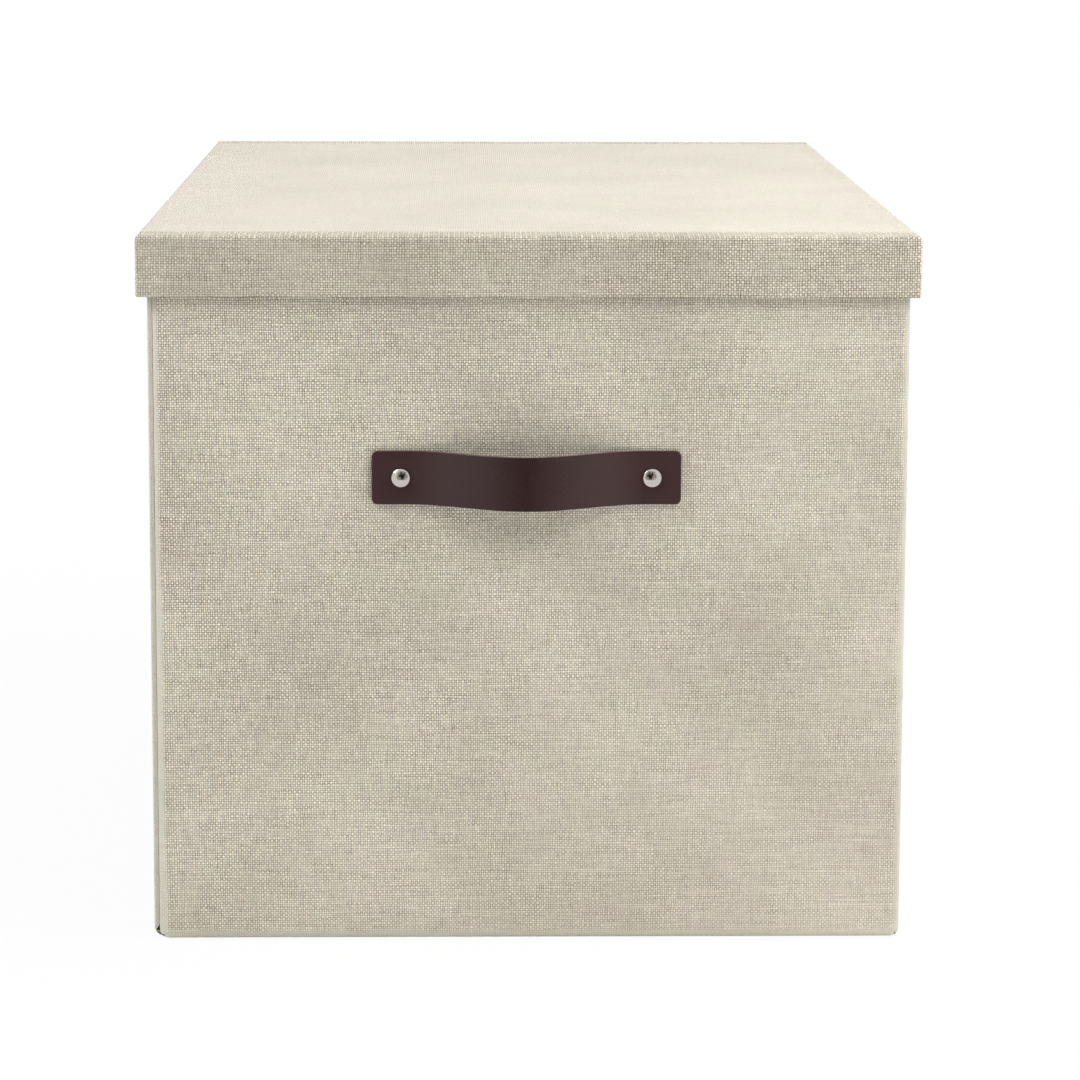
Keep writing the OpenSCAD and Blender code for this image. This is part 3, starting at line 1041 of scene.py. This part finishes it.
# %% Fold the lid's cover
LID_EDGE_R = 2.0 * MM
LID_CORNER_R = 1.5 * MM
LID_RIM_R = 0.5 * MM
LID_WALL = 2.6 * MM
LID_TURN_IN = 12 * MM


def lid_weight(middle):
    """Top edges full, upright corners tighter, lower edges sharp."""
    if middle.z < lid_low.z + HAIR:
        return 0.0
    return 1.0 if middle.z > lid_high.z - HAIR else LID_CORNER_R / LID_EDGE_R


lid_shell = folded_box(lid_low, lid_high, LID_EDGE_R, lid_weight)
lid_wall = Vector((LID_WALL, LID_WALL))
lid_inner = (lid_low.xy + lid_wall, lid_high.xy - lid_wall)
turn_cloth(lid_shell, -1, lid_low.z, lid_inner, LID_TURN_IN, LID_RIM_R)
lid_top = (lid_high.x - LID_EDGE_R, lid_high.y - LID_EDGE_R)
lid_cut = (lid_top[0] - PAST_FOLD, lid_top[1] - PAST_FOLD)
for sign in (-1, 1):
    cut_at(lid_shell, (sign * lid_cut[0], 0, 0), (1, 0, 0))
    cut_at(lid_shell, (0, sign * lid_cut[1], 0), (0, 1, 0))
print("lid shell", len(lid_shell.faces), "faces")

# %% Cut the lid's cover
LID_PITCH = (1.07, 1.0)
LID_SEED = 5.0
TURNED_IN = lid_low.z + LID_TURN_IN + MM


def lid_unroll(co, way):
    """Across the top and down the sides, from the middle of the lid."""
    depth = co.z - (lid_high.z - LID_EDGE_R)
    u = co.x
    v = co.y
    looks_sideways = abs(way.x) > max(abs(way.y), 0.3)
    if abs(co.y) > lid_cut[1] and not looks_sideways:
        v = math.copysign(bend(abs(co.y), lid_top[1], depth, LID_EDGE_R), co.y)
    elif abs(co.x) > lid_cut[0]:
        u = math.copysign(bend(abs(co.x), lid_top[0], depth, LID_EDGE_R), co.x)
    return (u, v)


lid_sides = {
    "lid_top": lambda c: abs(c.x) < lid_cut[0] and abs(c.y) < lid_cut[1] and c.z > TURNED_IN,
    "lid_front": lambda c: c.y < -lid_cut[1],
    "lid_back": lambda c: c.y > lid_cut[1],
    "lid_right": lambda c: abs(c.y) < lid_cut[1] and c.x > lid_cut[0],
    "lid_left": lambda c: abs(c.y) < lid_cut[1] and c.x < -lid_cut[0],
}
for side, keep in lid_sides.items():
    look = woven("woven cloth " + side, LID_PITCH, seed=LID_SEED, top=lid_top)
    cloth_piece(share(lid_shell, keep), side + "_cloth", lid_unroll, look, "lid", "lid_cover")
lid_shell.free()

# %% [markdown]
# ## Leather
#
# The strap is dyed leather with a fine grain and a soft sheen. It is deeper in
# colour at its middle and paler towards its ends, where it lies against the box,
# partly from handling that darkens the middle and partly as a painted sheen of
# the side lamps on its slopes. An even brown would look like plastic, so a
# texture of small cells gives the grain its edges, and noise gives pores and
# cloud. The cut edges are paler, so they have a finish of their own.

# %% Tan the leather
stud_left_low, stud_left_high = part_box("stud_left")
stud_right_low, stud_right_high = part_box("stud_right")
strap_low, strap_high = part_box("handle_strap")
strap_middle = (strap_low.x + strap_high.x) / 2
left_sum = stud_left_low.x + stud_left_high.x
right_sum = stud_right_low.x + stud_right_high.x
stud_span = (right_sum - left_sum) / 4
print("strap's middle", strap_middle, "studs", stud_span, "m to each side")


def leather():
    """Dark brown dyed leather."""
    s = material("brown leather")
    spot = s.node("TexCoord", {}, {}, "Object")
    grain = s.node(
        "TexVoronoi", {"feature": "DISTANCE_TO_EDGE"},
        {"Vector": spot, "Scale": 1100.0, "Randomness": 1.0},
    )
    pores = s.noise(spot, 2200, 3, 0.6)
    cloud = s.noise(spot, 60, 3, 0.6)
    tone = s.mix(cloud, linear(44, 20, 21), linear(50, 25, 26))
    away = abs(s.node("SeparateXYZ", {}, {0: spot}) - strap_middle) / stud_span
    # Paler towards the ends: partly handling that darkens the middle, partly a painted sheen of the side
    # lamps on the slopes.
    tone = s.mix(away.rise(0.25, 1.0) * 0.75, tone, linear(67, 44, 44))
    tone = s.mix(pores.rise(0.45, 0.7) * 0.4, tone, linear(74, 50, 50))
    height = grain.rise(0.0, 0.25) * 0.7 + pores * 0.5
    bump = s.node("Bump", {}, {"Strength": 0.2, "Distance": 0.05 * MM, "Height": height})
    return s.principled({
        "Base Color": tone, "Roughness": 0.28 + cloud * 0.08, "Specular IOR Level": 0.36, "Normal": bump,
    })


def leather_edge():
    """The strap's cut edges, paler than its face."""
    s = material("leather edge")
    spot = s.node("TexCoord", {}, {}, "Object")
    fibre = s.noise(spot, 900, 3, 0.7, (0.2, 1, 1))
    tone = s.mix(fibre, linear(92, 66, 64), linear(142, 112, 106))
    bump = s.node("Bump", {}, {"Strength": 0.4, "Distance": 0.06 * MM, "Height": fibre})
    return s.principled({"Base Color": tone, "Roughness": 0.6, "Normal": bump})


# %% [markdown]
# ## Strap
#
# A strip of thick leather, flat under each stud and bowed out between them. A
# curve with a bevel could follow the bow, but its ends would be hard to round.
# So it starts as a thin cube, gets its four round corners and its softened edges
# by bevels, is cut every millimetre, and is then bent: each point moves out
# square to the curve. The studs press a shallow dish into it.

# %% Bend the strap
STRAP_T = 2.2 * MM
STRAP_FLAT = 3.0 * MM
STRAP_CORNER_R = 2.6 * MM
STRAP_EDGE_R = 0.45 * MM
STRAP_UNCUT = 3
DISH_R = 7.0 * MM
DISH_DEPTH = 0.25 * MM
strap_level = (strap_low.z + strap_high.z) / 2
bow_half = stud_span - STRAP_FLAT
bow_height = strap_high.y - strap_low.y - STRAP_T


def bow(x):
    """Stand-off of the strap's back and its slope, at a distance from its middle."""
    if abs(x) >= bow_half:
        return 0.0, 0.0
    turn = math.pi * x / bow_half
    return bow_height * (1 + math.cos(turn)) / 2, -bow_height * math.pi / 2 / bow_half * math.sin(turn)


def flat_strap(half):
    """A flat strip of half a size, with round corners and soft edges, cut every millimetre."""
    bm = bmesh.new()
    bmesh.ops.create_cube(bm, size=2)
    bmesh.ops.scale(bm, vec=half, verts=bm.verts)
    corners = [e for e in bm.edges if abs(e.verts[0].co.y - e.verts[1].co.y) > half.y]
    bmesh.ops.bevel(
        bm, geom=corners, offset=STRAP_CORNER_R, offset_type="OFFSET", affect="EDGES",
        segments=8, profile=0.5, material=-1,
    )
    outline = [e for e in bm.edges if e.calc_face_angle(0) > CORNER_ANGLE]
    bmesh.ops.bevel(
        bm, geom=outline, offset=STRAP_EDGE_R, offset_type="OFFSET", affect="EDGES",
        segments=4, profile=0.5, material=-1,
    )
    across = round(half.z / MM) - STRAP_UNCUT
    along = round(half.x / MM) - STRAP_UNCUT
    for i in range(-along, along + 1):
        cut_at(bm, (i * MM, 0, 0), (1, 0, 0))
    for i in range(-across, across + 1):
        cut_at(bm, (0, 0, i * MM), (0, 0, 1))
    return bm


strap_half = Vector(((strap_high.x - strap_low.x) / 2, STRAP_T / 2, (strap_high.z - strap_low.z) / 2))
strap = flat_strap(strap_half)
for face in strap.faces:
    face.material_index = 1 if abs(face.normal.y) < 0.4 else 0
for v in strap.verts:
    lift = v.co.y - strap_half.y
    stand, slope = bow(v.co.x)
    long = math.hypot(1, slope)
    near = min(math.hypot(v.co.x - side * stud_span, v.co.z) for side in (-1, 1)) / DISH_R
    dish = DISH_DEPTH * max(0.0, 1 - near * near) if v.co.y < 0 else 0.0
    v.co = Vector((
        strap_middle + v.co.x + lift * slope / long,
        strap_high.y - stand + lift / long + dish,
        strap_level + v.co.z,
    ))
strap = object_from(strap, "strap", leather(), "box")
strap.data.materials.append(leather_edge())
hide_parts("handle_strap")
even_normals(strap)

# %% [markdown]
# ## Studs
#
# A stud's head is a shallow dome with a thin lip, turned on a lathe and plated.
# It is made as the lathe makes it: an arc is spun from one point, the lip is
# extruded from the arc's end, and the outline is spun round the stud's axis. A
# squashed sphere would have no lip and the wrong curve at its edge. The bow of
# the strap tips each head outwards a little, which moves what it mirrors.
#
# Polished plate mirrors the studio, so its look comes from the floor, the left
# lamp and the card. The finish adds the faint haze that handling leaves.

# %% Turn the studs
STUD_EDGE_H = 0.5 * MM
STUD_LIP = ((-0.05 * MM, -0.12 * MM), (0.0, 0.15 * MM - STUD_EDGE_H), (-0.15 * MM, -0.1 * MM))
STUD_TIP = math.radians(5)
CHROME_DEEP = (0.5, 0.45, 0.42, 1)
CHROME_PALE = (0.62, 0.58, 0.55, 1)


def chrome():
    """Polished plate with a faint haze."""
    s = material("chrome")
    spot = s.node("TexCoord", {}, {}, "Object")
    haze = s.noise(spot, 500, 3, 0.6)
    tone = s.mix(haze, CHROME_DEEP, CHROME_PALE)
    return s.principled({"Base Color": tone, "Metallic": 1.0, "Roughness": 0.06 + haze * 0.1})


def stud(name, node, side, look):
    """A stud's head on the strap. side is -1 on the left and 1 on the right."""
    low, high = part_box(node)
    radius = (high.x - low.x) / 2
    seat = strap_high.y - STRAP_T
    rise = seat - low.y - STUD_EDGE_H
    sphere = (radius * radius + rise * rise) / (2 * rise)
    bm = bmesh.new()
    top = bm.verts.new((0, 0, rise + STUD_EDGE_H))
    arc = bmesh.ops.spin(
        bm, geom=[top], cent=(0, 0, rise + STUD_EDGE_H - sphere), axis=(0, 1, 0), dvec=(0, 0, 0),
        angle=math.asin(radius / sphere), steps=12, use_merge=False,
    )
    rim = arc["geom_last"][0]
    for out, up in STUD_LIP:
        step = bmesh.ops.extrude_vert_indiv(bm, verts=[rim])["verts"][0]
        bmesh.ops.translate(bm, vec=(out, 0, up), verts=[step])
        rim = step
    seam = bmesh.ops.extrude_vert_indiv(bm, verts=[rim])["verts"][0]
    seam.co.x = 0
    bmesh.ops.spin(
        bm, geom=bm.verts[:] + bm.edges[:], cent=(0, 0, 0), axis=(0, 0, 1), dvec=(0, 0, 0),
        angle=math.tau, steps=64, use_merge=True,
    )
    bmesh.ops.remove_doubles(bm, verts=bm.verts, dist=HAIR / 10)
    bmesh.ops.recalc_face_normals(bm, faces=bm.faces)
    bmesh.ops.rotate(bm, matrix=Matrix.Rotation(math.radians(90), 3, "X"), verts=bm.verts)
    bmesh.ops.rotate(bm, matrix=Matrix.Rotation(side * STUD_TIP, 3, "Z"), verts=bm.verts)
    bmesh.ops.translate(bm, vec=((low.x + high.x) / 2, seat, (low.z + high.z) / 2), verts=bm.verts)
    made = object_from(bm, name, look, "box")
    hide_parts(node)


stud_chrome = chrome()
stud("left_stud", "stud_left", -1, stud_chrome)
stud("right_stud", "stud_right", 1, stud_chrome)

# %% [markdown]
# ## Board, paper and nickel
#
# The boards, the papers, the washers and the screws have the right shape in the
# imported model, and a mesh that is right is best left alone. They only need their
# finish: raw board with pressed fibres shows in the seam's open corner, smooth
# paper lines the inside, and the screws are plain nickel plate.

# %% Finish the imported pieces
def board():
    """Raw grey board with pressed fibres."""
    s = material("grey board")
    spot = s.node("TexCoord", {}, {}, "Object")
    fibre = s.noise(spot, 700, 4, 0.7)
    tone = s.mix(fibre, linear(120, 112, 100), linear(168, 160, 146))
    bump = s.node("Bump", {}, {"Strength": 0.3, "Distance": 0.1 * MM, "Height": fibre})
    return s.principled({"Base Color": tone, "Roughness": 0.9, "Normal": bump})


def lining():
    """Off-white paper with faint fibres."""
    s = material("lining paper")
    spot = s.node("TexCoord", {}, {}, "Object")
    fibre = s.noise(spot, 900, 4, 0.75)
    cloud = s.noise(spot, 18, 3, 0.6)
    tone = s.mix(cloud, linear(228, 224, 214), linear(240, 237, 229))
    tone = s.mix(fibre.rise(0.5, 0.8) * 0.2, tone, linear(205, 198, 184))
    bump = s.node("Bump", {}, {"Strength": 0.2, "Distance": 0.05 * MM, "Height": fibre})
    return s.principled({"Base Color": tone, "Roughness": 0.8, "Normal": bump})


def nickel():
    """Plain nickel plate, a little clouded."""
    s = material("nickel plate")
    spot = s.node("TexCoord", {}, {}, "Object")
    haze = s.noise(spot, 900, 3, 0.6)
    tone = s.mix(haze, (0.62, 0.60, 0.56, 1), (0.74, 0.72, 0.68, 1))
    return s.principled({"Base Color": tone, "Metallic": 1.0, "Roughness": 0.22 + haze * 0.15})


def wear(nodes, look):
    """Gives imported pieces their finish."""
    for node in nodes:
        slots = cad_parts[node].data.materials
        slots.clear()
        slots.append(look)
    print(look.name, "on", len(nodes), "packed pieces")


wear([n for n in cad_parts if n.endswith("_board")], board())
wear(["wall_lining", "base_lining", "base_paper", "lid_lining"], lining())
wear(["washer_left", "washer_right", "screw_left", "screw_right"], nickel())
